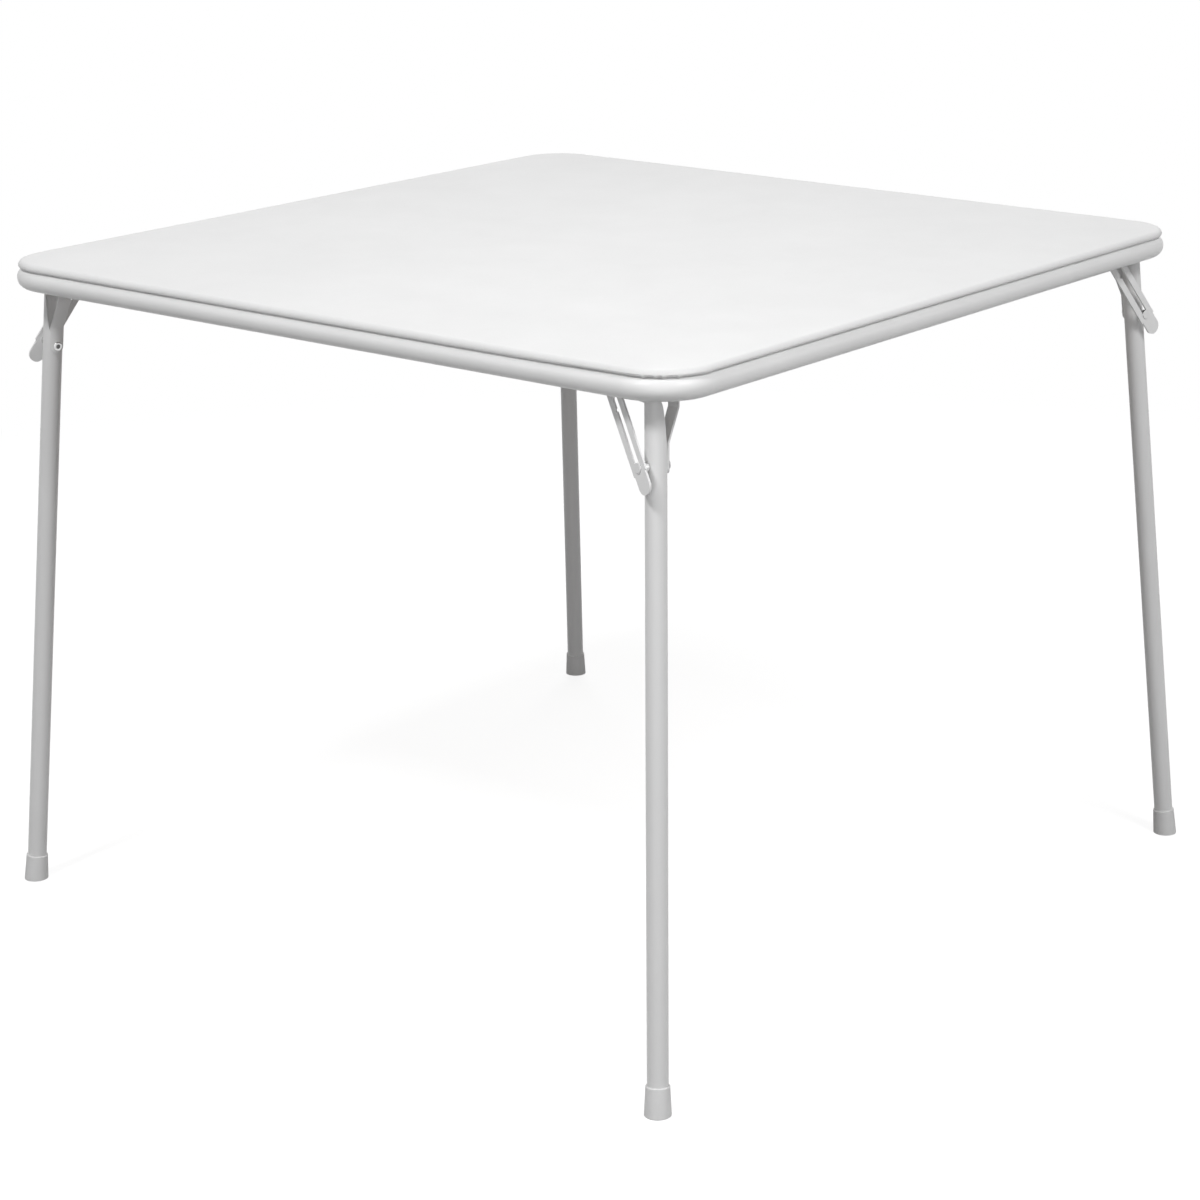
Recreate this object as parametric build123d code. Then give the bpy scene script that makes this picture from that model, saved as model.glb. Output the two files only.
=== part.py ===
from build123d import *
import math
import os

os.makedirs("parts", exist_ok=True)

# Folding card table. Lengths in millimetres, angles in degrees.
# The origin is on the floor under the middle of the top, +Z is up, and +Y is the back.
# The four corners are alike. Each leg folds under the rail that runs on clockwise from it.

# Top and frame
table_side = 880.0
frame_top_height = 678.0
frame_tube_diameter = 22.2
frame_tube_wall = 1.0
frame_corner_radius = 56.0
splice_gap = 0.3
splice_sleeve_length = 60.0
splice_sleeve_wall = 1.0

# Padded top, from below: vinyl hem, hardboard, foam, vinyl
pad_inset = 2.0
vinyl_thickness = 0.6
board_thickness = 3.2
foam_thickness = 3.4
edge_foam_width = 3.6
pad_edge_radius = 3.8
pad_lower_edge_radius = 3.6
vinyl_hem_width = 18.0

# Where a leg's axis stands, measured from the two outer faces of its corner:
# along the rail that it folds under, and across that rail
hinge_along_rail = 47.7
hinge_across_rail = 36.7
hinge_drop = 19.0
foot_along_rail = 11.5
foot_across_rail = -14.5
toe_in_angle = 16.0

# Leg tube, pressed in at its top from the side that faces the middle of the table
leg_diameter = 20.0
leg_wall = 1.2
leg_top_over_hinge = 8.0
leg_top_corner_radius = 6.0
press_closed_length = 3.0

# The press is a round die that grows wider and stands back as it goes down the leg.
# Its side passes the leg's axis at the hinge, and has left the tube at the lower end.
press_straight_drop = 6.0
press_length = 59.0
press_radius = 12.0
press_end_radius = 40.0
press_reach_at_hinge = 7.3
press_run_out = 3.0
press_length_shares = [0.0, 0.12, 0.36, 0.72, 1.0]
press_radius_shares = [0.0, 0.0, 0.07, 0.36, 1.0]
press_depth_shares = [0.0, 0.148, 0.38, 0.682, 1.0]

# Foot cap
foot_height = 28.0
foot_floor_thickness = 5.0
foot_top_diameter = 22.6
foot_bottom_diameter = 25.6
foot_edge_radius = 3.0
foot_lip_chamfer = 0.6
foot_overcut = 3.0

# Hinge, with a long pin through the bracket's two ears
pin_diameter = 6.0
pin_head_diameter = 10.0
pin_head_thickness = 1.6
pin_head_round = 0.8
spacer_diameter = 10.0
hinge_side_gap = 0.4

# Side strap between the leg and the hinge pin
strap_thickness = 1.8
strap_wrap_angle = 39.0
strap_top_offset = 19.5
strap_bend_drop = 46.0
strap_straight_drop = 15.0
strap_top_shift = 1.7

# Lock strut and its rivets
lock_rivet_drop = 65.6
strut_pivot_along = 42.0
strut_pivot_rise = 3.2
strut_thickness = 2.0
strut_width = 20.0
strut_offset = 17.1
slot_side_gap = 0.3
slot_spare_length = 9.0
shoulder_beyond_rivet = 5.0
shoulder_step = 1.5
tab_beyond_rivet = 25.3
detent_radius = 1.7
lock_shoulder_diameter = 9.6
lock_head_diameter = 9.8
lock_head_thickness = 1.1
lock_head_round = 0.6
open_pivot_gap = 0.3
tail_ring_diameter = 9.4
tail_ring_thickness = 1.5
tail_ring_round = 1.2
tail_hole_diameter = 4.6
tail_hole_depth = 10.0

# Corner bracket and rail tabs
bracket_thickness = 2.0
ear_radius = 9.0
strut_ear_radius = 8.0
inner_ear_width = 24.0
ear_foot_width = 10.0
web_along_rail = 118.0
web_across_rail = 76.0
web_short_along = 62.0
web_short_across = 52.0
web_start = 12.0
web_corner_radius = 8.0
tab_width = 32.0
tab_reach = 44.0
tab_hole_across = 34.0

# Panel screws
screw_diameter = 4.0
screw_head_diameter = 9.0
screw_head_thickness = 2.6
screw_head_round = 1.2
screw_bite = 2.6
near_screw_along = 30.0
near_screw_across = 66.0
far_screw_along = 106.0
far_screw_across = 28.0

# Clearances
fit_gap = 0.05
face_gap = 0.1
overrun = 40.0

# Worked out from the sizes above
half_side = table_side / 2
frame_tube_radius = frame_tube_diameter / 2
frame_axis_height = frame_top_height - frame_tube_radius
frame_axis_half = half_side - frame_tube_radius
frame_bend_radius = frame_corner_radius - frame_tube_radius
pad_thickness = 2 * vinyl_thickness + board_thickness + foam_thickness
pad_side = table_side - 2 * pad_inset
pad_corner_radius = frame_corner_radius - pad_inset
board_bottom = frame_top_height + vinyl_thickness
core_side = pad_side - 2 * vinyl_thickness
core_corner_radius = pad_corner_radius - vinyl_thickness
board_side = core_side - 2 * edge_foam_width
board_corner_radius = core_corner_radius - edge_foam_width
leg_radius = leg_diameter / 2
pin_radius = pin_diameter / 2
hole_radius = pin_radius + fit_gap

hinge_point = Vector(
    half_side - hinge_along_rail,
    hinge_across_rail - half_side,
    frame_top_height - hinge_drop,
)
foot_point = Vector(half_side - foot_along_rail, foot_across_rail - half_side, 0)
leg_length = (foot_point - hinge_point).length
leg_down = (foot_point - hinge_point).normalized()
toe_in = math.radians(toe_in_angle)
folded_direction = Vector(-math.cos(toe_in), math.sin(toe_in), 0)
outward = folded_direction.cross(leg_down).normalized()
fold_side = outward.cross(leg_down * -1).normalized()

# Corner frame: origin on the hinge axis, X to the side the leg folds to,
# Y along the hinge axis towards the rail, Z up along the open leg
corner_frame = Plane(origin=hinge_point, x_dir=fold_side, z_dir=leg_down * -1).location
fold_angle = math.degrees(math.acos(leg_down.dot(folded_direction)))

outer_ear_inner_face = leg_radius + hinge_side_gap
outer_ear_outer_face = outer_ear_inner_face + bracket_thickness
strap_outer_offset = strap_top_offset + strap_thickness
inner_ear_inner_face = strap_outer_offset + hinge_side_gap
inner_ear_outer_face = inner_ear_inner_face + bracket_thickness
strap_inner_radius = leg_radius + fit_gap
strap_outer_radius = strap_inner_radius + strap_thickness
strap_half_width = strap_outer_radius * math.sin(math.radians(strap_wrap_angle))
strut_outer_face = strut_offset + strut_thickness
strut_run_up = lock_rivet_drop + strut_pivot_rise
strut_pin_distance = math.hypot(strut_pivot_along, strut_run_up)
strut_angle = math.degrees(math.atan2(-strut_run_up, -strut_pivot_along))
fold = math.radians(fold_angle)
folded_rivet_x = lock_rivet_drop * math.sin(fold)
folded_rivet_z = -lock_rivet_drop * math.cos(fold)
folded_pin_distance = math.hypot(
    folded_rivet_x - strut_pivot_along, folded_rivet_z - strut_pivot_rise
)
folded_strut_angle = math.degrees(
    math.atan2(folded_rivet_z - strut_pivot_rise, folded_rivet_x - strut_pivot_along)
)
slot_travel = strut_pin_distance - folded_pin_distance
slot_width = pin_diameter + 2 * slot_side_gap

corner_turns = {"front_right": 0, "back_right": 90, "back_left": 180, "front_left": 270}
rail_turns = {"front": 0, "right": 90, "back": 180, "left": 270}


def rod(radius, y_low, y_high, x=0, z=0):
    """A round rod along Y in the corner frame."""
    middle = (y_low + y_high) / 2
    return Pos(x, middle, z) * Rot(90, 0, 0) * Cylinder(radius, y_high - y_low)


def tube_piece(outer_radius, inner_radius, y_low, y_high, x=0, z=0):
    """A plain spacer tube along Y in the corner frame."""
    return rod(outer_radius, y_low, y_high, x, z) - rod(inner_radius, y_low, y_high, x, z)


def plate(outline, y_low, y_high):
    """An outline in X and Z, given a thickness along Y."""
    return extrude(Plane.XZ.offset(-y_high) * outline, amount=y_high - y_low)


def rivet_head(radius, thickness, round_radius, y_face, side, x=0, z=0):
    """A low round head that stands off a face, to the side given as 1 or -1."""
    head = Pos(0, 0, thickness / 2) * Cylinder(radius, thickness)
    head = fillet(head.edges().group_by(Axis.Z)[-1], round_radius)
    return Pos(x, y_face, z) * Rot(-90 * side, 0, 0) * head


def at_corner(piece, turn):
    """Move a piece from the corner frame to one of the four corners."""
    return Rot(0, 0, turn) * (corner_frame * piece)


# Frame


def frame_loop(radius):
    """A round bar bent along the frame's axis, open at the splice in the back rail."""
    half = frame_axis_half
    corners = [
        (-splice_gap / 2, half),
        (-half, half),
        (-half, -half),
        (half, -half),
        (half, half),
        (splice_gap / 2, half),
    ]
    path = Pos(0, 0, frame_axis_height) * FilletPolyline(*corners, radius=frame_bend_radius)
    start = Plane(origin=path @ 0, z_dir=path % 0)
    return sweep(start * Circle(radius), path=path)


def frame_ring():
    return frame_loop(frame_tube_radius) - frame_loop(frame_tube_radius - frame_tube_wall)


def splice_sleeve():
    outer = frame_tube_radius - frame_tube_wall - fit_gap
    sleeve = Cylinder(outer, splice_sleeve_length)
    sleeve -= Cylinder(outer - splice_sleeve_wall, splice_sleeve_length)
    return Pos(0, frame_axis_half, frame_axis_height) * Rot(0, 90, 0) * sleeve


def corner_point(along, across, height):
    """A place measured from the two outer faces of the front right corner."""
    return Vector(half_side - along, across - half_side, height)


def bracket_web():
    """The flat part of a corner bracket, under the board and inside the tube."""
    points = [
        corner_point(web_start, web_start, 0),
        corner_point(web_along_rail, web_start, 0),
        corner_point(web_along_rail, web_short_across, 0),
        corner_point(web_short_along, web_across_rail, 0),
        corner_point(web_start, web_across_rail, 0),
    ]
    outline = make_face(Polyline(*points, close=True))
    inner_corners = [v for v in outline.vertices() if v.Y > web_short_across - half_side - fit_gap]
    outline = fillet(inner_corners, web_corner_radius)
    axis_side = 2 * frame_axis_half
    outline &= RectangleRounded(axis_side, axis_side, frame_bend_radius)
    web = extrude(outline, amount=bracket_thickness)
    return Pos(0, 0, frame_top_height - bracket_thickness) * web


def outer_ear():
    """The ear on the rail side: it holds the leg's hinge and the strut's pivot."""
    rise = hinge_drop + ear_foot_width
    pivot = Pos(strut_pivot_along, strut_pivot_rise)
    low = Circle(ear_radius) + pivot * Circle(strut_ear_radius)
    foot_left = Pos(-ear_radius / 2, rise) * Circle(ear_radius / 2)
    foot_right = Pos(strut_pivot_along + ear_foot_width, rise) * Circle(ear_radius / 2)
    outline = make_hull((low + foot_left + foot_right).edges())
    return plate(outline, outer_ear_inner_face, outer_ear_outer_face)


def inner_ear():
    """The ear beyond the strap: it holds the other end of the hinge pin."""
    rise = hinge_drop + ear_foot_width
    foot = Pos(0, rise) * Rectangle(inner_ear_width, ear_foot_width)
    outline = make_hull((Circle(ear_radius) + foot).edges())
    return plate(outline, -inner_ear_outer_face, -inner_ear_inner_face)


def screw_places():
    """The two screws through a bracket's web."""
    return [
        corner_point(near_screw_along, near_screw_across, frame_top_height),
        corner_point(far_screw_along, far_screw_across, frame_top_height),
    ]


def corner_bracket(tube_envelope):
    ears = corner_frame * (outer_ear() + inner_ear())
    above = Pos(hinge_point.X, hinge_point.Y, frame_top_height)
    headroom = Box(table_side, table_side, overrun, align=(Align.CENTER, Align.CENTER, Align.MIN))
    bracket = (ears - above * headroom) + bracket_web()
    bracket -= tube_envelope
    bracket -= corner_frame * rod(hole_radius, -overrun, overrun)
    bracket -= corner_frame * rod(hole_radius, 0, overrun, strut_pivot_along, strut_pivot_rise)
    for place in screw_places():
        bracket -= Pos(place) * Cylinder(screw_diameter / 2 + face_gap, overrun)
    return bracket


def rail_tab(tube_envelope):
    """A flat tab on the front rail's inner side, with a screw hole."""
    length = tab_reach - web_start
    tab = Box(tab_width, length, bracket_thickness)
    tab = fillet(tab.edges().filter_by(Axis.Z).group_by(Axis.Y)[-1], web_corner_radius)
    middle = web_start + length / 2 - half_side
    tab = Pos(0, middle, frame_top_height - bracket_thickness / 2) * tab
    tab -= tube_envelope
    hole = Cylinder(screw_diameter / 2 + face_gap, overrun)
    return tab - Pos(0, tab_hole_across - half_side, frame_top_height) * hole


def panel_screw():
    """A round-headed screw, with the top of its head's seat at the origin."""
    head = Pos(0, 0, -screw_head_thickness / 2) * Cylinder(screw_head_diameter / 2, screw_head_thickness)
    head = fillet(head.edges().group_by(Axis.Z)[0], screw_head_round)
    reach = bracket_thickness + vinyl_thickness + screw_bite
    return head + Pos(0, 0, reach / 2) * Cylinder(screw_diameter / 2, reach)


def all_screw_places():
    places = []
    tab_place = Vector(0, tab_hole_across - half_side, frame_top_height)
    for turn in corner_turns.values():
        for place in screw_places() + [tab_place]:
            places.append(place.rotate(Axis.Z, turn))
    return places


def panel_screws():
    seat = Pos(0, 0, -bracket_thickness)
    return [Pos(place) * seat * panel_screw() for place in all_screw_places()]


# Padded top


def board_blank():
    outline = RectangleRounded(board_side, board_side, board_corner_radius)
    return Pos(0, 0, board_bottom) * extrude(outline, amount=board_thickness)


def top_board():
    board = board_blank()
    for place in all_screw_places():
        hole = Cylinder(screw_diameter / 2 + fit_gap, 2 * (vinyl_thickness + screw_bite) + 2 * face_gap)
        board -= Pos(place) * hole
    return board


def padded_core():
    """All that the vinyl is stretched over: the board, and the foam on it and round its edge."""
    outline = RectangleRounded(core_side, core_side, core_corner_radius)
    core = extrude(outline, amount=board_thickness + foam_thickness)
    core = fillet(core.edges().group_by(Axis.Z)[-1], pad_edge_radius - vinyl_thickness)
    core = fillet(core.edges().group_by(Axis.Z)[0], pad_lower_edge_radius - vinyl_thickness)
    return Pos(0, 0, board_bottom) * core


def foam_pad():
    return padded_core() - board_blank()


def vinyl_cover():
    """The skin over the top, wrapped round its edge to a hem below the board."""
    cover = extrude(RectangleRounded(pad_side, pad_side, pad_corner_radius), amount=pad_thickness)
    cover = fillet(cover.edges().group_by(Axis.Z)[-1], pad_edge_radius)
    cover = fillet(cover.edges().group_by(Axis.Z)[0], pad_lower_edge_radius)
    opening_side = pad_side - 2 * vinyl_hem_width
    opening_corner_radius = pad_corner_radius - vinyl_hem_width
    opening = extrude(
        RectangleRounded(opening_side, opening_side, opening_corner_radius), amount=vinyl_thickness
    )
    return Pos(0, 0, frame_top_height) * (cover - opening) - padded_core()


# Leg


def press_die(skin):
    """The die's shape, larger all round by the given skin."""
    sections = []
    run_down = press_length - press_straight_drop
    depth_run = leg_radius + press_reach_at_hinge
    shares = zip(press_length_shares, press_radius_shares, press_depth_shares)
    for length_share, radius_share, depth_share in shares:
        radius = press_radius + (press_end_radius - press_radius) * radius_share
        offset = radius - press_reach_at_hinge + depth_run * depth_share
        height = -press_straight_drop - run_down * length_share
        sections.append(Pos(0, -offset, height) * Circle(radius + skin))
    run_out_offset = press_end_radius + leg_radius + press_run_out
    run_out_height = -press_length - press_run_out * run_down / depth_run
    sections.append(Pos(0, -run_out_offset, run_out_height) * Circle(press_end_radius + skin))
    upper = extrude(sections[0], amount=press_straight_drop + overrun)
    return loft(sections) + upper


def leg_tube():
    lower_end = leg_length - foot_floor_thickness
    length = lower_end + leg_top_over_hinge
    middle = (leg_top_over_hinge - lower_end) / 2
    tube = Pos(0, 0, middle) * Cylinder(leg_radius, length)
    block = Pos(0, 0, middle) * Box(leg_diameter, leg_diameter, length)
    block = fillet(block.edges().filter_by(Axis.Y).group_by(Axis.Z)[-1], leg_top_corner_radius)
    tube = tube & block
    bore_length = lower_end - press_closed_length
    bore_middle = -press_closed_length - bore_length / 2
    bore = Pos(0, 0, bore_middle) * Cylinder(leg_radius - leg_wall, bore_length)
    bore -= press_die(leg_wall)
    tube = tube - press_die(0) - bore
    tube -= rod(hole_radius, 0, overrun)
    tube -= rod(hole_radius, -overrun, overrun, 0, -lock_rivet_drop)
    return tube


def foot_cap():
    """A tapered cap in the corner frame, still with its lower end below the floor."""
    bottom = -(leg_length + foot_overcut)
    top = foot_height - leg_length
    profile = Polyline(
        (0, bottom),
        (foot_bottom_diameter / 2, bottom),
        (foot_top_diameter / 2, top),
        (0, top),
        close=True,
    )
    body = revolve(Plane.XZ * make_face(profile), axis=Axis.Z)
    body = fillet(body.edges().group_by(Axis.Z)[0], foot_edge_radius)
    body = chamfer(body.edges().group_by(Axis.Z)[-1], foot_lip_chamfer)
    socket_depth = foot_height - foot_floor_thickness + fit_gap
    socket = Pos(0, 0, top - socket_depth / 2) * Cylinder(leg_radius + fit_gap, socket_depth)
    return body - socket


def cut_at_floor(piece):
    low = Box(table_side, table_side, overrun, align=(Align.CENTER, Align.CENTER, Align.MAX))
    return piece - Pos(foot_point) * low


def wrap_section(height):
    """The strap's section where it lies round the leg."""
    outer = CenterArc((0, 0), strap_outer_radius, -90 - strap_wrap_angle, 2 * strap_wrap_angle)
    inner = CenterArc((0, 0), strap_inner_radius, -90 - strap_wrap_angle, 2 * strap_wrap_angle)
    sides = [Line(outer @ 0, inner @ 0), Line(outer @ 1, inner @ 1)]
    return Pos(0, 0, height) * make_face([outer, inner] + sides)


def flat_section(height):
    """The strap's section where it is flat, beside the hinge pin."""
    middle = -(strap_top_offset + strap_thickness / 2)
    return Pos(strap_top_shift, middle, height) * Rectangle(2 * strap_half_width, strap_thickness)


def side_strap():
    wrap_length = lock_rivet_drop + strap_half_width - strap_bend_drop
    lower = extrude(wrap_section(-strap_bend_drop), amount=-wrap_length)
    bent = loft([wrap_section(-strap_bend_drop), flat_section(-strap_straight_drop)], ruled=True)
    upper = extrude(flat_section(-strap_straight_drop), amount=strap_straight_drop + strap_half_width)
    strap = lower + bent + upper
    lower_end = Pos(0, -lock_rivet_drop) * Circle(strap_half_width)
    ends = lower_end + Pos(strap_top_shift, 0) * Circle(strap_half_width)
    outline = make_hull(ends.edges())
    strap = strap & plate(outline, -overrun, 0)
    strap -= rod(hole_radius, -overrun, 0)
    strap -= rod(hole_radius, -overrun, 0, 0, -lock_rivet_drop)
    return strap


def hinge_spacer():
    """The tube on the hinge pin that keeps the strap away from the leg."""
    hollow = press_radius - math.sqrt(press_radius**2 - (spacer_diameter / 2) ** 2)
    leg_end = press_reach_at_hinge - hollow - face_gap
    return tube_piece(spacer_diameter / 2, hole_radius, face_gap - strap_top_offset, leg_end)


def hinge_pin():
    head_radius = pin_head_diameter / 2
    outer_face = outer_ear_outer_face
    inner_face = -inner_ear_outer_face
    shank = rod(pin_radius, inner_face, outer_face)
    outer_head = rivet_head(head_radius, pin_head_thickness, pin_head_round, outer_face, 1)
    inner_head = rivet_head(head_radius, pin_head_thickness, pin_head_round, inner_face, -1)
    return shank + outer_head + inner_head


def leg_rivet():
    """The part of the lock rivet that goes through the leg, with its hollow end on the strap."""
    outer_end = math.sqrt(leg_radius**2 - pin_radius**2)
    ring_face = -(strap_outer_radius + fit_gap)
    ring_end = ring_face - tail_ring_thickness
    shank = rod(pin_radius, ring_face, outer_end, 0, -lock_rivet_drop)
    ring = rivet_head(
        tail_ring_diameter / 2, tail_ring_thickness, tail_ring_round, ring_face, -1, 0, -lock_rivet_drop
    )
    hole = rod(tail_hole_diameter / 2, ring_end, ring_end + tail_hole_depth, 0, -lock_rivet_drop)
    return shank + ring - hole


# Lock strut


def lock_strut():
    """A slotted flat strut with a thumb tab, drawn from its pivot towards the tab."""
    shoulder = strut_pin_distance + shoulder_beyond_rivet
    tab_radius = strut_width / 2 - shoulder_step
    tab_centre = strut_pin_distance + tab_beyond_rivet - tab_radius
    body = Pos(shoulder / 2, 0) * Rectangle(shoulder, strut_width) + Circle(strut_width / 2)
    tab = Pos(tab_centre / 2, 0) * Rectangle(tab_centre, 2 * tab_radius)
    tab += Pos(tab_centre, 0) * Circle(tab_radius)
    outline = body + tab
    slot_length = slot_travel + slot_spare_length
    slot_middle = strut_pin_distance - slot_length / 2
    outline -= Pos(slot_middle, 0) * SlotCenterToCenter(slot_length, slot_width)
    outline -= Pos(folded_pin_distance, slot_width / 2) * Circle(detent_radius)
    outline -= Circle(hole_radius)
    outline = Pos(strut_pivot_along, strut_pivot_rise) * Rot(0, 0, strut_angle) * outline
    return plate(outline, strut_offset, strut_outer_face)


def strut_pivot_rivet():
    x = strut_pivot_along
    z = strut_pivot_rise
    face = strut_outer_face + face_gap
    shank = rod(pin_radius, outer_ear_inner_face, face, x, z)
    head = rivet_head(pin_head_diameter / 2, lock_head_thickness, lock_head_round, face, 1, x, z)
    return shank + head


def strut_spacer():
    """The tube that holds the strut away from the bracket's outer ear."""
    low = outer_ear_outer_face + fit_gap
    high = strut_offset - face_gap
    radius = lock_shoulder_diameter / 2
    return tube_piece(radius, hole_radius, low, high, strut_pivot_along, strut_pivot_rise)


def lock_rivet():
    """The shouldered part of the lock rivet, which rides in the strut's slot."""
    z = -lock_rivet_drop
    shoulder_face = strut_offset - face_gap
    head_face = strut_outer_face + face_gap
    shoulder = rod(lock_shoulder_diameter / 2, leg_radius + open_pivot_gap, shoulder_face, 0, z)
    shank = rod(pin_radius, shoulder_face, head_face, 0, z)
    head = rivet_head(
        lock_head_diameter / 2, lock_head_thickness, lock_head_round, head_face, 1, 0, z
    )
    return shoulder + shank + head


def save(name, piece):
    """Write one piece, or a group of separate alike pieces, as its own file."""
    solids = []
    for item in piece if isinstance(piece, list) else [piece]:
        solids += item.solids()
    shape = solids[0] if len(solids) == 1 else Compound(children=solids)
    shape.label = name
    export_step(shape, os.path.join("parts", name + ".step"))


tube_envelope = frame_loop(frame_tube_radius + fit_gap)
save("frame_ring", frame_ring())
save("frame_splice_sleeve", splice_sleeve())
save("top_board", top_board())
save("foam_pad", foam_pad())
save("vinyl_cover", vinyl_cover())
save("panel_screws", panel_screws())

bracket = corner_bracket(tube_envelope)
tab = rail_tab(tube_envelope)
for rail, turn in rail_turns.items():
    save("rail_tab_" + rail, Rot(0, 0, turn) * tab)

# Pieces that are drawn once in the corner frame and stand at every corner
corner_pieces = {
    "hinge_pin": hinge_pin(),
    "strut_pivot_rivet": strut_pivot_rivet(),
    "strut_spacer": strut_spacer(),
    "leg_tube": leg_tube(),
    "side_strap": side_strap(),
    "hinge_spacer": hinge_spacer(),
    "leg_rivet": leg_rivet(),
    "lock_strut": lock_strut(),
    "lock_rivet": lock_rivet(),
}
cap = cut_at_floor(corner_frame * foot_cap())
for corner, turn in corner_turns.items():
    save("corner_bracket_" + corner, Rot(0, 0, turn) * bracket)
    save("foot_cap_" + corner, Rot(0, 0, turn) * cap)
    for name, piece in corner_pieces.items():
        save(name + "_" + corner, at_corner(piece, turn))

print("leg fold", round(fold_angle, 3), "strut turn", round(folded_strut_angle - strut_angle, 3))
print("slot travel", round(slot_travel, 3), "rivet to pivot", round(strut_pin_distance, 3))
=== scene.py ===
import math

import bmesh
import bpy
from mathutils import Matrix, Vector, noise


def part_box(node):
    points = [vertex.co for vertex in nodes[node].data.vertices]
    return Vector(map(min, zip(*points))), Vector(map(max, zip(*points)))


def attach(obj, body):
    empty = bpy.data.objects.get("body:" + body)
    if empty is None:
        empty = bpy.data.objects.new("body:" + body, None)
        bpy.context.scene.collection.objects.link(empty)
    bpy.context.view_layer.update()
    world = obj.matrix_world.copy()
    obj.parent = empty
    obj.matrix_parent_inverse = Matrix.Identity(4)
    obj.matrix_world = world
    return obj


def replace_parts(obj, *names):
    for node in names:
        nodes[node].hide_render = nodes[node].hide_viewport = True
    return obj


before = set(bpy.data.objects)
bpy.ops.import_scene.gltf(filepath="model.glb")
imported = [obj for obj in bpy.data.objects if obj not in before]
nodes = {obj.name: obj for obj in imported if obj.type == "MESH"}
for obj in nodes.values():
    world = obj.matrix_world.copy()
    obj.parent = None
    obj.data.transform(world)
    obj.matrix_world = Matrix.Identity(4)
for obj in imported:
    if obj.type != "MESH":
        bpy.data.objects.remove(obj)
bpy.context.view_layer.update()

# Folding card table. Metres, +Z up, origin on the floor under the middle of the top.
MM = 0.001
RIGHT_ANGLE = math.radians(90)
CORNERS = {"front_right": 0, "back_right": 90, "back_left": 180, "front_left": 270}
RAILS = ["front", "right", "back", "left"]


# Camera, at the photograph's viewing angle

CAMERA_PLACE = Vector((1.98091, -2.39594, 1.27020))
CAMERA_AZIMUTH = math.radians(38.279)
CAMERA_LOOK_DOWN = math.radians(16.410)
CAMERA_ROLL = math.radians(-0.407)
CAMERA_LENS = 90.672
CAMERA_SENSOR = 36.0
CAMERA_SHIFT = (-0.0595, -0.0454)


def make_camera():
    data = bpy.data.cameras.new("view_camera")
    data.sensor_width = CAMERA_SENSOR
    data.lens = CAMERA_LENS
    data.shift_x, data.shift_y = CAMERA_SHIFT
    camera = bpy.data.objects.new("view_camera", data)
    bpy.context.scene.collection.objects.link(camera)
    flat = math.cos(CAMERA_LOOK_DOWN)
    back = Vector((
        math.sin(CAMERA_AZIMUTH) * flat,
        -math.cos(CAMERA_AZIMUTH) * flat,
        math.sin(CAMERA_LOOK_DOWN),
    ))
    right = Vector((0, 0, 1)).cross(back).normalized()
    up = back.cross(right)
    across = math.cos(CAMERA_ROLL) * right + math.sin(CAMERA_ROLL) * up
    upward = math.cos(CAMERA_ROLL) * up - math.sin(CAMERA_ROLL) * right
    turn = Matrix((across, upward, back)).transposed().to_4x4()
    camera.matrix_world = Matrix.Translation(CAMERA_PLACE) @ turn
    bpy.context.scene.camera = camera


# Materials


class Nodes:
    """A node tree, with a short way to add and wire its nodes."""

    def __init__(self, tree):
        self.tree = tree

    def named(self, name):
        return self.tree.nodes[name]

    def fill(self, node, inputs):
        """Set a node's inputs, or wire those whose value is another node's output."""
        for key, value in inputs.items():
            if isinstance(value, bpy.types.NodeSocket):
                self.tree.links.new(value, node.inputs[key])
            else:
                node.inputs[key].default_value = value

    def node(self, kind, inputs=None, **settings):
        made = self.tree.nodes.new(kind)
        for key, value in settings.items():
            setattr(made, key, value)
        self.fill(made, inputs or {})
        return made


class Finish(Nodes):
    """A node material, laid out by each object's own coordinates."""

    def __init__(self, name):
        self.material = bpy.data.materials.new(name)
        self.material.use_nodes = True
        super().__init__(self.material.node_tree)
        self.shader = self.named("Principled BSDF")
        self.place = self.node("ShaderNodeTexCoord").outputs["Object"]

    def set(self, **values):
        self.fill(self.shader, {key.replace("_", " "): value for key, value in values.items()})

    def noise(self, scale, detail=2.0, rough=0.5, place=None):
        inputs = {"Vector": place or self.place, "Scale": scale, "Detail": detail, "Roughness": rough}
        return self.node("ShaderNodeTexNoise", inputs).outputs["Fac"]

    def spread(self, source, low, high, from_low=0.3, from_high=0.7):
        """A value of from_low to from_high laid out from low to high, and held at its ends."""
        made = self.node("ShaderNodeMapRange", {"Value": source, "To Min": low, "To Max": high})
        self.fill(made, {"From Min": from_low, "From Max": from_high})
        return made.outputs["Result"]

    def mix(self, share, first, second, blend="MIX"):
        """One colour laid over another by a share of 0 to 1."""
        inputs = {"Factor": share, "A": first, "B": second}
        made = self.node("ShaderNodeMix", inputs, data_type="RGBA", blend_type=blend)
        return made.outputs["Result"]

    def bump(self, height, depth, strength, under=None):
        inputs = {"Height": height, "Distance": depth, "Strength": strength}
        if under is not None:
            inputs["Normal"] = under
        return self.node("ShaderNodeBump", inputs).outputs["Normal"]


def grey(level):
    return (level, level, level, 1.0)


ENAMEL_CLOUD_SHARES = (0.965, 1.02)
# How much lighter the painted edge highlight is than the enamel, held below the lightest grey.
EDGE_HIGHLIGHT_SHARE = 1.08
LIGHTEST_ENAMEL = 0.92
PEEL_DEPTH = 0.06 * MM
DUST_DEPTH = 0.02 * MM


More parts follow.
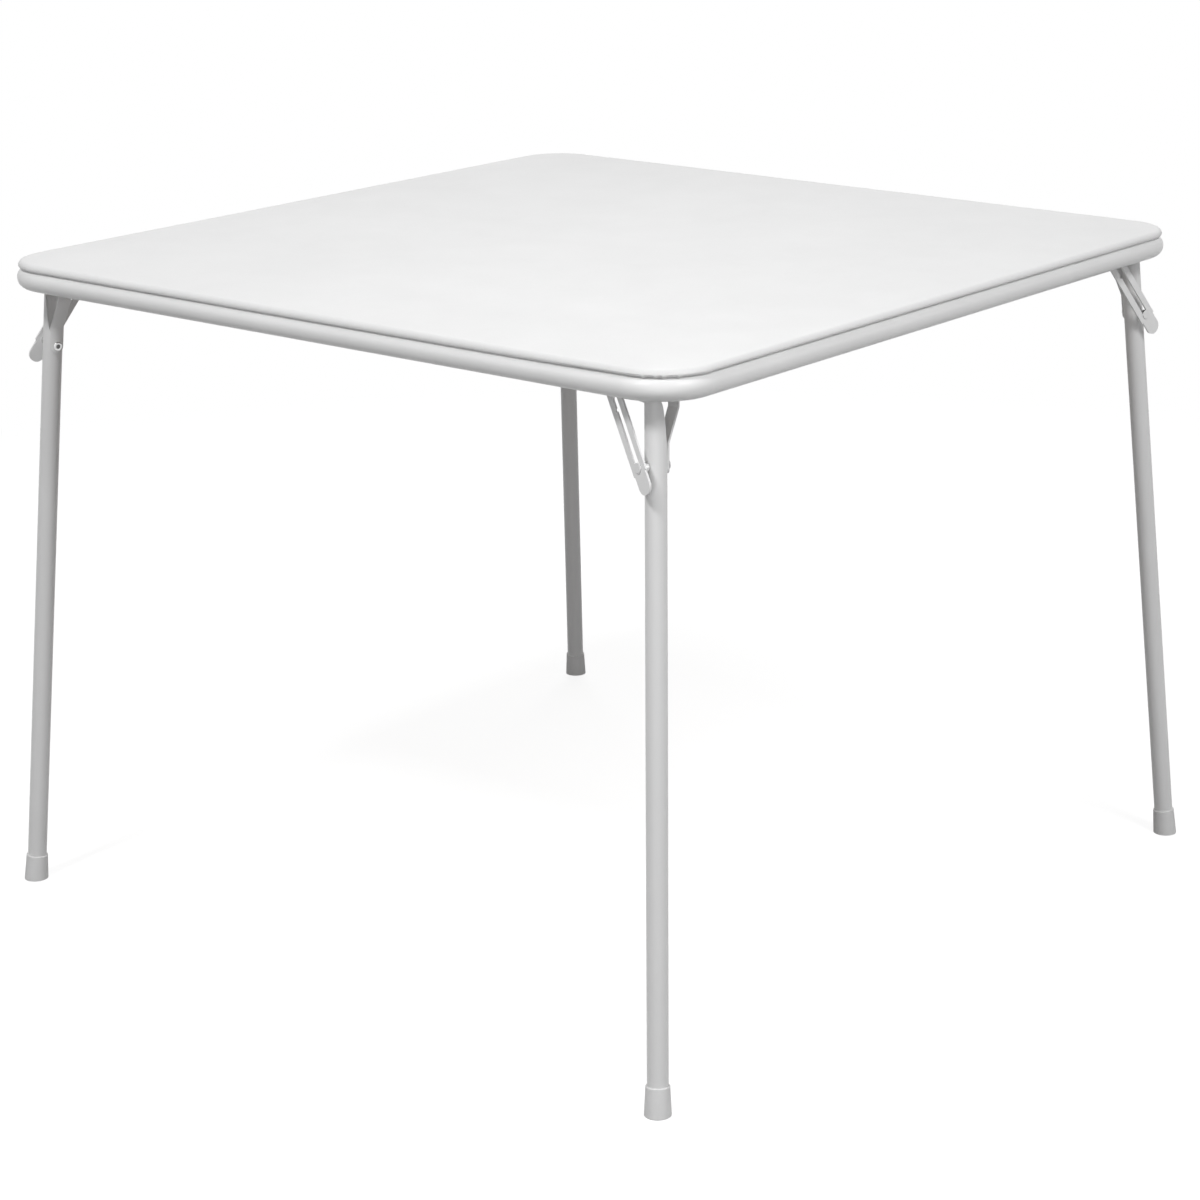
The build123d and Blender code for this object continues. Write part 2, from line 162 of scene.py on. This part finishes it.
def enamel_finish(name, level):
    """Light powder coat: an orange-peel skin, faint clouding, and sharp edges painted lighter as a
    highlight.
    """
    finish = Finish(name)
    clouds = finish.spread(finish.noise(scale=9.0, detail=4.0), 0, 1)
    dark, light = (grey(level * share) for share in ENAMEL_CLOUD_SHARES)
    # Painted highlight: sharp convex edges, found by pointiness, are coloured lighter where light would
    # catch them.
    pointed = finish.node("ShaderNodeNewGeometry").outputs["Pointiness"]
    edge_highlight_mask = finish.spread(pointed, 0, 0.5, from_low=0.52, from_high=0.62)
    edge_highlight = grey(min(level * EDGE_HIGHLIGHT_SHARE, LIGHTEST_ENAMEL))
    colour = finish.mix(edge_highlight_mask, finish.mix(clouds, dark, light), edge_highlight)
    skin = finish.bump(finish.noise(scale=950.0), PEEL_DEPTH, strength=0.55)
    skin = finish.bump(finish.noise(scale=2600.0, detail=1.0), DUST_DEPTH, strength=0.35, under=skin)
    rough = finish.spread(finish.noise(scale=60.0, detail=3.0), 0.34, 0.44)
    finish.set(Base_Color=colour, Roughness=rough, Normal=skin)
    finish.set(Coat_Weight=0.08, Coat_Roughness=0.25, IOR=1.4)
    return finish.material


VINYL_LEVELS = (0.80, 0.835)
CREASE_LEVEL = 0.93
GRAIN_DEPTH = 0.07 * MM
GRAIN_WANDER = 1.2 * MM
FINE_GRAIN_DEPTH = 0.02 * MM


def vinyl_finish(name):
    """Light upholstery vinyl with a fine leather grain."""
    finish = Finish(name)
    warp = finish.node("ShaderNodeTexNoise", {"Vector": finish.place, "Scale": 260.0, "Detail": 2.0})
    wander = {0: warp.outputs["Color"], 1: (GRAIN_WANDER, GRAIN_WANDER, GRAIN_WANDER)}
    shift = finish.node("ShaderNodeVectorMath", wander, operation="MULTIPLY").outputs["Vector"]
    place = finish.node("ShaderNodeVectorMath", {0: finish.place, 1: shift}, operation="ADD")
    cells = finish.node(
        "ShaderNodeTexVoronoi",
        {"Vector": place.outputs["Vector"], "Scale": 720.0},
        feature="DISTANCE_TO_EDGE",
    )
    grain = finish.spread(cells.outputs["Distance"], 0, 1, from_low=0.0, from_high=0.16)
    skin = finish.bump(grain, GRAIN_DEPTH, strength=0.42)
    skin = finish.bump(finish.noise(scale=3100.0), FINE_GRAIN_DEPTH, strength=0.3, under=skin)
    clouds = finish.spread(finish.noise(scale=5.0, detail=5.0, rough=0.6), 0, 1)
    base = finish.mix(clouds, grey(VINYL_LEVELS[0]), grey(VINYL_LEVELS[1]))
    creases = finish.mix(grain, grey(CREASE_LEVEL), grey(1.0))
    colour = finish.mix(0.5, base, creases, blend="MULTIPLY")
    rough = finish.spread(finish.noise(scale=24.0, detail=3.0), 0.46, 0.56)
    finish.set(Base_Color=colour, Roughness=rough, Normal=skin)
    finish.set(Sheen_Weight=0.04, Sheen_Roughness=0.4, IOR=1.48)
    return finish.material


RUBBER_LEVELS = (0.80, 0.86)
RUBBER_GRAIN_DEPTH = 0.05 * MM


def rubber_finish(name):
    """Light moulded rubber with a dull, slightly blotched skin."""
    finish = Finish(name)
    blotches = finish.spread(finish.noise(scale=38.0, detail=5.0), 0, 1)
    colour = finish.mix(blotches, grey(RUBBER_LEVELS[0]), grey(RUBBER_LEVELS[1]))
    skin = finish.bump(finish.noise(scale=1500.0, detail=3.0), RUBBER_GRAIN_DEPTH, strength=0.5)
    rough = finish.spread(finish.noise(scale=90.0), 0.55, 0.68)
    finish.set(Base_Color=colour, Roughness=rough, Normal=skin, IOR=1.45)
    return finish.material


STEEL_LEVELS = (0.52, 0.68)
TURNING_MARK_DEPTH = 0.02 * MM


def steel_finish(name):
    """Zinc-plated steel with fine turning marks and small stains."""
    finish = Finish(name)
    stains = finish.spread(finish.noise(scale=420.0, detail=4.0), 0, 1)
    colour = finish.mix(stains, grey(STEEL_LEVELS[0]), grey(STEEL_LEVELS[1]))
    skin = finish.bump(finish.noise(scale=5200.0), TURNING_MARK_DEPTH, strength=0.5)
    rough = finish.spread(finish.noise(scale=900.0, detail=3.0), 0.22, 0.38)
    finish.set(Base_Color=colour, Metallic=1.0, Roughness=rough, Normal=skin)
    return finish.material


DARK_FIBRE = (0.135, 0.075, 0.040, 1.0)
LIGHT_FIBRE = (0.255, 0.155, 0.088, 1.0)
FIBRE_DEPTH = 0.2 * MM


def board_finish(name):
    """Brown hardboard: a felt of short fibres, some along the board and some across it."""
    finish = Finish(name)
    along = finish.node("ShaderNodeMapping", {"Vector": finish.place, "Scale": (1.0, 0.28, 1.0)})
    across = finish.node("ShaderNodeMapping", {"Vector": finish.place, "Scale": (0.3, 1.0, 1.0)})
    both = {
        0: finish.noise(scale=620.0, detail=3.0, rough=0.6, place=along.outputs["Vector"]),
        1: finish.noise(scale=540.0, detail=3.0, rough=0.6, place=across.outputs["Vector"]),
    }
    fibres = finish.node("ShaderNodeMath", both, operation="MULTIPLY").outputs["Value"]
    flecks = finish.spread(fibres, 0, 1, from_low=0.12, from_high=0.42)
    colour = finish.mix(flecks, DARK_FIBRE, LIGHT_FIBRE)
    skin = finish.bump(fibres, FIBRE_DEPTH, strength=0.6)
    finish.set(Base_Color=colour, Roughness=finish.spread(flecks, 0.78, 0.62), Normal=skin)
    return finish.material


# Padded top: rings of points round the rounded square, from the hem over the edge to the middle

COVER_LOW, COVER_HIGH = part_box("vinyl_cover")
TOP_SIDE = COVER_HIGH[0] - COVER_LOW[0]
TOP_LOW = COVER_LOW[2]
TOP_HIGH = COVER_HIGH[2]
TOP_CORNER = 54.0 * MM
STRAIGHT_HALF = TOP_SIDE / 2 - TOP_CORNER
FRONT_RIGHT = Vector((STRAIGHT_HALF, -STRAIGHT_HALF, 0))
ARC_LENGTH = TOP_CORNER * RIGHT_ANGLE
SIDE_STEPS = 112
CORNER_STEPS = 60
ON_STRAIGHT = -1.0

# Section of the edge: a hem of rows by inset and sag, a roll that lies on the tube, and a nose
VINYL = 0.6 * MM
HEM = 18.0 * MM
HEM_ROWS = [(HEM, 0.0), (HEM * 0.6, 0.0), (7.2 * MM, 0.0), (5.5 * MM, 0.1 * MM), (4.0 * MM, 0.4 * MM)]
ROLL_RADIUS = 2.3 * MM
ROLL_HEIGHT = 1.6 * MM
ROLL_STEPS = 8
NOSE_RUN = 5.5 * MM
NOSE_STEPS = 14
TOP_ROWS_MM = [6.5, 8.0, 9.5, 11.5, 14.5, 18.0, 22.0, 27.0, 33.0, 41.0, 52.0]
MIDDLE_SHARES = [0.93, 0.85, 0.76, 0.66, 0.55, 0.43, 0.30, 0.17, 0.06]

# Softness: the crown, the foam's unevenness as scale, seed and size, and the waves of the edge
CROWN_DROP = 0.7 * MM
CROWN_RUN = 16.0 * MM
FOAM_WAVES = [(7, 0.3, 0.18 * MM), (19, 4.1, 0.09 * MM)]
FOAM_SINK = 0.22 * MM
UPPER_SHARE = 0.35
EDGE_RUN = 20.0 * MM
EDGE_WAVE_SCALE = 9
EDGE_WAVE_SEED = 7.7
EDGE_WAVE = 0.2 * MM

# Gathers: the roll stands off the tube between its pleats, mostly at the front right corner.
# A pleat is its share of the corner's arc, its width as such a share, and its size.
OPEN_SHARE = 0.35
OPEN_LIFT = 2.0 * MM
OPEN_INSET = 1.4 * MM
OPEN_LENGTHS = (100.0 * MM, 60.0 * MM)
OPEN_SIDE_SHARE = 0.5
OPEN_SIDE_REACH = 800.0 * MM
OPEN_PLEATS = [(0.222, 0.022, 1.0), (0.36, 0.020, 0.9), (0.445, 0.018, 1.0), (0.618, 0.022, 1.0)]
CLOSED_LIFT = 0.4 * MM
CLOSED_PLEATS = [
    (0.06, 0.030, 0.5), (0.17, 0.022, 0.8), (0.28, 0.034, 0.6), (0.37, 0.020, 1.0),
    (0.47, 0.030, 0.7), (0.585, 0.024, 1.0), (0.70, 0.034, 0.6), (0.81, 0.022, 0.8), (0.93, 0.030, 0.5),
]
LIFTED_RUN = 3.9 * MM
LIFTED_SHARE = 0.45
SAME_PLACE = 1.0 * MM


def outline():
    """Each place round the top: the middle of its arc, the way out, and its share of the corner."""
    places = []
    for degrees in CORNERS.values():
        rotation = Matrix.Rotation(math.radians(degrees), 3, "Z")
        for step in range(SIDE_STEPS):
            along = STRAIGHT_HALF * (2 * step / SIDE_STEPS - 1)
            centre = Vector((along, -STRAIGHT_HALF, 0))
            places.append((rotation @ centre, rotation @ Vector((0, -1, 0)), ON_STRAIGHT))
        for step in range(CORNER_STEPS):
            share = step / CORNER_STEPS
            angle = RIGHT_ANGLE * share
            outward = Vector((math.sin(angle), -math.cos(angle), 0))
            places.append((rotation @ FRONT_RIGHT, rotation @ outward, share))
    return places


def edge_profile(inward):
    """Inset and height pairs, from the hem to the flat of the top, set in by a wall."""
    low = TOP_LOW + inward
    high = TOP_HIGH - inward
    middle = TOP_LOW + ROLL_HEIGHT
    roll = ROLL_RADIUS - inward
    profile = [(inset, low - sag) for inset, sag in HEM_ROWS]
    for step in range(ROLL_STEPS + 1):
        angle = RIGHT_ANGLE * step / ROLL_STEPS
        profile.append((ROLL_RADIUS - roll * math.sin(angle), middle - roll * math.cos(angle)))
    for step in range(1, NOSE_STEPS + 1):
        angle = RIGHT_ANGLE * step / NOSE_STEPS
        inset = inward + (NOSE_RUN - inward) * (1 - math.cos(angle))
        profile.append((inset, middle + (high - middle) * math.sin(angle)))
    for row in TOP_ROWS_MM:
        profile.append((row * MM + inward, high))
    return profile


def pleat_shape(pleats, share):
    """1 on a pleat's fold, 0 between pleats."""
    value = 0.0
    for middle, width, size in pleats:
        away = (share - middle) / width
        value += size * math.exp(-away * away)
    return min(value, 1.0)


def opening(centre, outward, share):
    """How wide the gap over the tube is: 1 at the front right corner, less on the right side."""
    beyond = (centre - FRONT_RIGHT).length
    on_front = outward.y < -0.5
    side_gap = 0.0
    if beyond < SAME_PLACE:
        along = (share - OPEN_SHARE) * ARC_LENGTH
    elif on_front:
        along = -OPEN_SHARE * ARC_LENGTH - beyond
    else:
        along = (1 - OPEN_SHARE) * ARC_LENGTH + beyond
        side_gap = OPEN_SIDE_SHARE * (1 - (beyond / OPEN_SIDE_REACH) ** 2)
    length = OPEN_LENGTHS[0] if along < 0 else OPEN_LENGTHS[1]
    return max(math.exp(-((along / length) ** 2)), side_gap)


def roll_lift(centre, share, open_share):
    """How far the roll stands off the tube at one place of the outline."""
    lift = OPEN_LIFT * open_share
    if share == ON_STRAIGHT:
        return lift
    if (centre - FRONT_RIGHT).length < SAME_PLACE:
        return lift * (1 - pleat_shape(OPEN_PLEATS, share))
    arch = math.sin(math.pi * share) ** 0.5
    return lift + CLOSED_LIFT * arch * (1 - pleat_shape(CLOSED_PLEATS, share))


def foam_lift(x, y):
    """How far the foam's unevenness lifts the skin at one place."""
    lift = -FOAM_SINK
    for scale, seed, size in FOAM_WAVES:
        lift += noise.noise(Vector((x * scale, y * scale, seed))) * size
    return lift


def edge_wave(centre, outward):
    """How far the edge leaves its line at one place of the outline, never outwards."""
    place = centre * EDGE_WAVE_SCALE + outward
    return (noise.noise(Vector((place.x, place.y, EDGE_WAVE_SEED))) - 1) * EDGE_WAVE


def edge_point(centre, outward, share, inset, height):
    """One point of the skin, with its foam's unevenness, its edge's waves and its gathers."""
    point = centre + outward * (TOP_CORNER - inset)
    height_share = (height - TOP_LOW) / (TOP_HIGH - TOP_LOW)
    upper = min(max((height_share - UPPER_SHARE) / (1 - UPPER_SHARE), 0), 1)
    near_edge = max(0.0, 1 - inset / EDGE_RUN)
    crown = CROWN_DROP * math.exp(-max(inset - NOSE_RUN, 0) / CROWN_RUN)
    point.z = height + (foam_lift(point.x, point.y) - crown) * upper
    point += outward * edge_wave(centre, outward) * near_edge * upper
    open_share = opening(centre, outward, share)
    point -= outward * OPEN_INSET * open_share * near_edge
    if inset < LIFTED_RUN:
        lifted = max(0.0, 1 - abs(height_share) / LIFTED_SHARE)
        point.z += roll_lift(centre, share, open_share) * lifted
    return point


def skin_rings(made, inward):
    """The rings of one side of the skin, from the hem to the middle, and the middle's own point."""
    profile = edge_profile(inward)
    around = outline()
    rings = []
    for inset, height in profile:
        rings.append([made.verts.new(edge_point(*place, inset, height)) for place in around])
    rim = [vertex.co.copy() for vertex in rings[-1]]
    top = profile[-1][1]
    for share in MIDDLE_SHARES:
        flat = [(place.x * share, place.y * share) for place in rim]
        rings.append([made.verts.new((x, y, top + foam_lift(x, y))) for x, y in flat])
    middle = made.verts.new((0, 0, top + foam_lift(0, 0)))
    return rings, middle


def bridge(made, lower, upper):
    """A band of faces between two rings."""
    for index in range(len(lower)):
        following = (index + 1) % len(lower)
        made.faces.new((lower[index], lower[following], upper[following], upper[index]))


def close_middle(made, ring, middle):
    for index in range(len(ring)):
        made.faces.new((ring[index], ring[(index + 1) % len(ring)], middle))


def padded_top():
    """The vinyl as one closed wall: its lining from the middle to the hem, and its outside back."""
    made = bmesh.new()
    outside, outside_middle = skin_rings(made, 0.0)
    lining, lining_middle = skin_rings(made, VINYL)
    rings = lining[::-1] + outside
    for lower, upper in zip(rings, rings[1:]):
        bridge(made, lower, upper)
    close_middle(made, outside[-1], outside_middle)
    close_middle(made, lining[-1][::-1], lining_middle)
    for face in made.faces:
        face.smooth = True
    mesh = bpy.data.meshes.new("vinyl_top")
    made.to_mesh(mesh)
    made.free()
    piece = bpy.data.objects.new("vinyl_top", mesh)
    bpy.context.scene.collection.objects.link(piece)
    mesh.materials.append(vinyl_finish("vinyl"))
    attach(piece, "frame")
    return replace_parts(piece, "vinyl_cover", "foam_pad")


# Finishes of the rigid pieces

FRAME_LEVEL = 0.88
LEG_LEVEL = 0.81
TOE_IN = math.radians(16.0)
RIVET_HEAD = 1.2 * MM


def dress(node, material):
    data = nodes[node].data
    data.materials.clear()
    data.materials.append(material)


def paint_rivet_head(corner, material):
    """The lock rivet's outer head is painted with the strut, and its shank stays bare."""
    piece = nodes["lock_rivet_" + corner]
    turn = Matrix.Rotation(math.radians(CORNERS[corner]), 3, "Z")
    outward = turn @ Vector((-math.sin(TOE_IN), -math.cos(TOE_IN), 0))
    far = max((piece.matrix_world @ vertex.co).dot(outward) for vertex in piece.data.vertices)
    piece.data.materials.append(material)
    for face in piece.data.polygons:
        if (piece.matrix_world @ face.center).dot(outward) > far - RIVET_HEAD:
            face.material_index = 1


def dress_rigid_pieces():
    frame_enamel = enamel_finish("frame_enamel", FRAME_LEVEL)
    leg_enamel = enamel_finish("leg_enamel", LEG_LEVEL)
    steel = steel_finish("bare_steel")
    rubber = rubber_finish("foot_rubber")
    board = board_finish("hardboard")
    dress("frame_ring", frame_enamel)
    dress("frame_splice_sleeve", steel)
    dress("top_board", board)
    dress("panel_screws", steel)
    for rail in RAILS:
        dress("rail_tab_" + rail, frame_enamel)
    for corner in CORNERS:
        for name in ("corner_bracket", "hinge_pin", "strut_pivot_rivet", "lock_strut"):
            dress(name + "_" + corner, frame_enamel)
        for name in ("leg_tube", "side_strap"):
            dress(name + "_" + corner, leg_enamel)
        for name in ("hinge_spacer", "strut_spacer", "leg_rivet", "lock_rivet"):
            dress(name + "_" + corner, steel)
        dress("foot_cap_" + corner, rubber)
        paint_rivet_head(corner, frame_enamel)


# Studio

WORLD_LEVEL = 0.18
FLOOR_LEVEL = 0.30
FLOOR_SEEN_LEVEL = 0.34
FLOOR_GLOW = 0.84
FLOOR_REACH = 12.0
FLOOR_DROP = 0.1 * MM
FLOOR_FADE = (1.1, 2.2)
LIGHT_TARGET = Vector((0, 0, 0.55))
LIGHT_DISTANCE = 3.6

# Each lamp: degrees round from the camera's side, degrees above the target, side, and watts
LAMPS = {
    "left_key": (-40, 50, 0.5, 50.0),
    "left_low": (-65, 15, 1.6, 3.0),
    "front_low": (-5, 10, 1.6, 16.0),
    "right_key": (42, 42, 0.9, 42.5),
    "right_low": (60, 15, 1.6, 9.0),
    "back_fill": (180, 45, 1.6, 30.0),
}


def white_for_camera(tree, plain, glow):
    """What the camera and shiny surfaces see is the glow, and all other rays see the plain shader."""
    path = tree.node("ShaderNodeLightPath").outputs
    two = {0: path["Is Camera Ray"], 1: path["Is Glossy Ray"]}
    seen = tree.node("ShaderNodeMath", two, operation="ADD").outputs[0]
    three = {0: seen, 1: path["Is Transmission Ray"]}
    seen = tree.node("ShaderNodeMath", three, operation="ADD", use_clamp=True).outputs[0]
    return tree.node("ShaderNodeMixShader", {0: seen, 1: plain, 2: glow}).outputs[0]


def make_world():
    world = bpy.data.worlds.new("studio")
    bpy.context.scene.world = world
    world.use_nodes = True
    sky = Nodes(world.node_tree)
    plain = sky.named("Background")
    sky.fill(plain, {"Color": grey(1.0), "Strength": WORLD_LEVEL})
    glow = sky.node("ShaderNodeBackground", {"Color": grey(1.0), "Strength": 1.0})
    mix = white_for_camera(sky, plain.outputs[0], glow.outputs[0])
    sky.fill(sky.named("World Output"), {"Surface": mix})


def floor_finish(name):
    """Pale, with the shadows at the feet, and plain white further out."""
    finish = Finish(name)
    finish.tree.nodes.remove(finish.shader)
    plain = finish.node("ShaderNodeBsdfDiffuse", {"Color": grey(FLOOR_LEVEL)}).outputs[0]
    lit = finish.node("ShaderNodeBsdfDiffuse", {"Color": grey(FLOOR_SEEN_LEVEL)}).outputs[0]
    glow = finish.node("ShaderNodeEmission", {"Strength": FLOOR_GLOW}).outputs[0]
    near = finish.node("ShaderNodeAddShader", {0: lit, 1: glow}).outputs[0]
    white = finish.node("ShaderNodeEmission").outputs[0]
    distance = finish.node("ShaderNodeVectorMath", {0: finish.place}, operation="LENGTH")
    far = finish.spread(distance.outputs["Value"], 0, 1, from_low=FLOOR_FADE[0], from_high=FLOOR_FADE[1])
    seen = finish.node("ShaderNodeMixShader", {0: far, 1: near, 2: white}).outputs[0]
    mix = white_for_camera(finish, plain, seen)
    finish.fill(finish.named("Material Output"), {"Surface": mix})
    return finish.material


def make_floor():
    data = bpy.data.meshes.new("floor")
    ends = [(-1, -1), (1, -1), (1, 1), (-1, 1)]
    corners = [(x * FLOOR_REACH, y * FLOOR_REACH, -FLOOR_DROP) for x, y in ends]
    data.from_pydata(corners, [], [(0, 1, 2, 3)])
    floor = bpy.data.objects.new("floor", data)
    bpy.context.scene.collection.objects.link(floor)
    data.materials.append(floor_finish("floor"))


def softbox(name, around, above, size, power):
    """A square lamp, turned to the target."""
    data = bpy.data.lights.new(name, "AREA")
    data.shape = "SQUARE"
    data.size = size
    data.energy = power
    lamp = bpy.data.objects.new(name, data)
    bpy.context.scene.collection.objects.link(lamp)
    turn = CAMERA_AZIMUTH + math.radians(around)
    rise = math.radians(above)
    away = Vector((math.sin(turn) * math.cos(rise), -math.cos(turn) * math.cos(rise), math.sin(rise)))
    lamp.location = LIGHT_TARGET + LIGHT_DISTANCE * away
    lamp.rotation_mode = "QUATERNION"
    lamp.rotation_quaternion = away.to_track_quat("Z", "Y")


def make_lights():
    for name, (around, above, size, power) in LAMPS.items():
        softbox(name, around, above, size, power)


bpy.context.scene.view_settings.view_transform = "Standard"
make_camera()
padded_top()
dress_rigid_pieces()
make_world()
make_floor()
make_lights()
